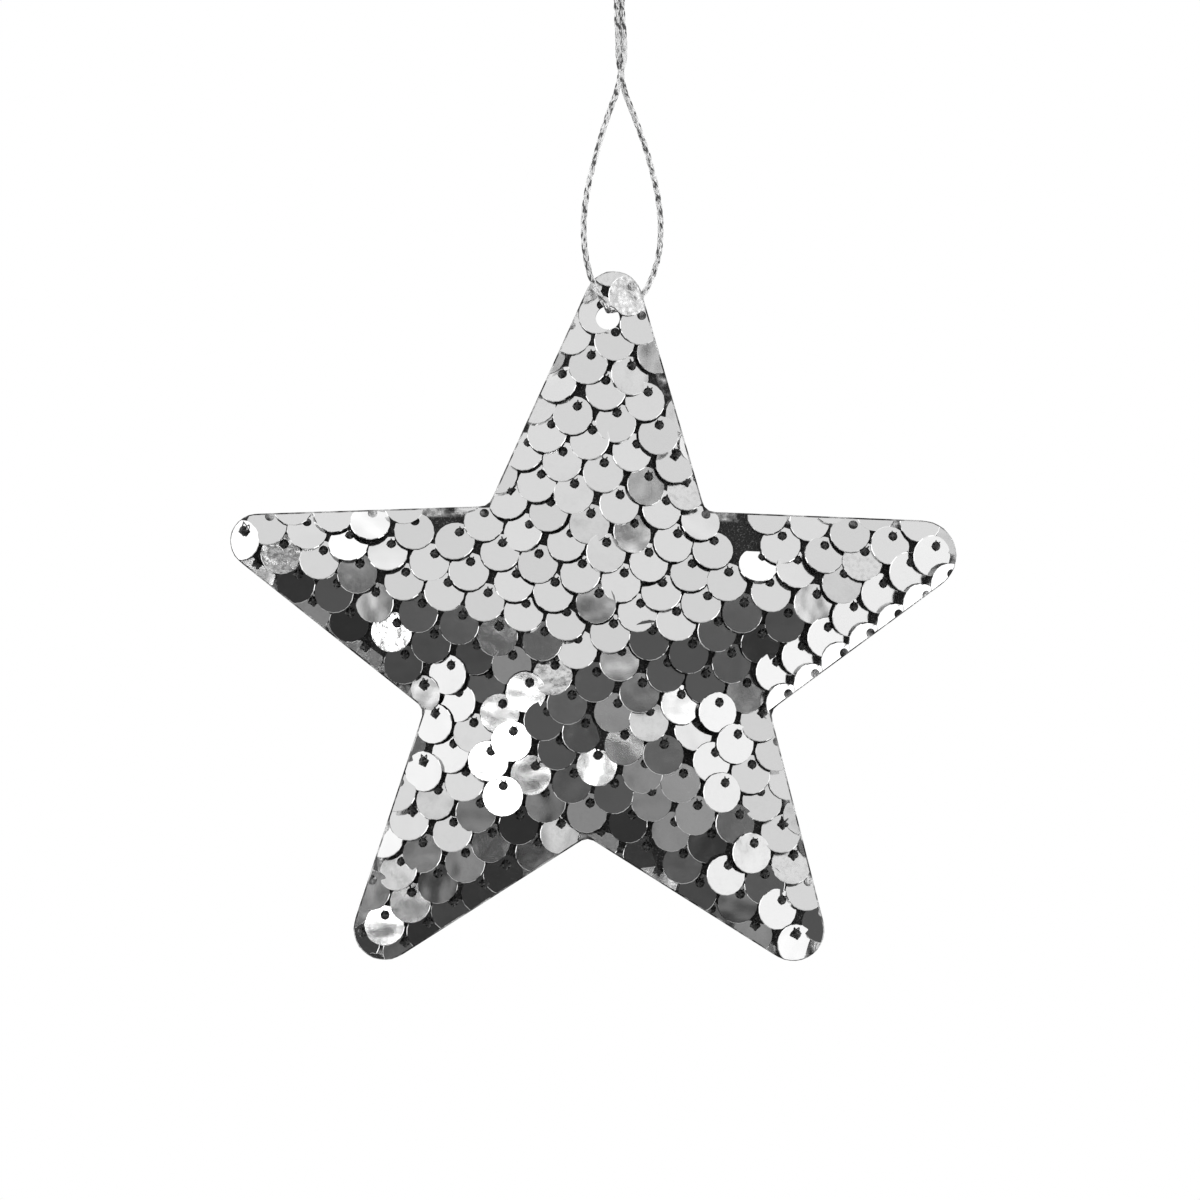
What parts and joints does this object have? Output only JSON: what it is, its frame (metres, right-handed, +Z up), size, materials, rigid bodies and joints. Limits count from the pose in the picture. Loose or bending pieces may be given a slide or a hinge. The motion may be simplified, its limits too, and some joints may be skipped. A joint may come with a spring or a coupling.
{
  "type": "hanging star ornament",
  "caption": "Puffed five-pointed star of silver sequin fabric, punched through its top arm and hung on a twisted silver cord loop.",
  "frame": {"origin": "inside the top of the hanging eye, where a hook bears", "axes": "+Z up, the front of the star faces -Y, +X to the right seen from the front"},
  "size_m": [0.0908, 0.0118, 0.1403],
  "materials": {
    "sequin": "gloss",
    "cloth": "matte",
    "filling": "matte",
    "cord": "satin"
  },
  "bodies": {
    "hanger": {"cord_eye": "cord", "cord_knot": "cord", "cord_tails": "cord"},
    "pair": {"cord_pair": "cord"},
    "loop": {"cord_front_leg": "cord", "cord_back_leg": "cord"},
    "star": {"filling": "filling", "front_cloth": "cloth", "back_cloth": "cloth", "front_sequins_01": "sequin", "front_sequins_02": "sequin", "front_sequins_03": "sequin", "front_sequins_04": "sequin", "front_sequins_05": "sequin", "front_sequins_06": "sequin", "front_sequins_07": "sequin", "front_sequins_08": "sequin", "front_sequins_09": "sequin", "front_sequins_10": "sequin", "front_sequins_11": "sequin", "front_sequins_12": "sequin", "front_sequins_13": "sequin", "front_sequins_14": "sequin", "back_sequins_01": "sequin", "back_sequins_02": "sequin", "back_sequins_03": "sequin", "back_sequins_04": "sequin", "back_sequins_05": "sequin", "back_sequins_06": "sequin", "back_sequins_07": "sequin", "back_sequins_08": "sequin", "back_sequins_09": "sequin", "back_sequins_10": "sequin", "back_sequins_11": "sequin", "back_sequins_12": "sequin", "back_sequins_13": "sequin", "back_sequins_14": "sequin"}
  },
  "joints": [
    {"name": "cord_twist", "type": "hinge", "parent": "hanger", "child": "pair", "pos_m": [0, 0, -0.01588], "axis": [0, 0, 1], "range_deg": [-180, 180]},
    {"name": "loop_sway", "type": "hinge", "parent": "pair", "child": "loop", "pos_m": [0.00056, 0, -0.02668], "axis": [1, 0, 0], "range_deg": [-15, 15]},
    {"name": "star_swing", "type": "hinge", "parent": "loop", "child": "star", "pos_m": [0, 0, -0.05663], "axis": [0, 1, 0], "range_deg": [-40, 40]}
  ]
}
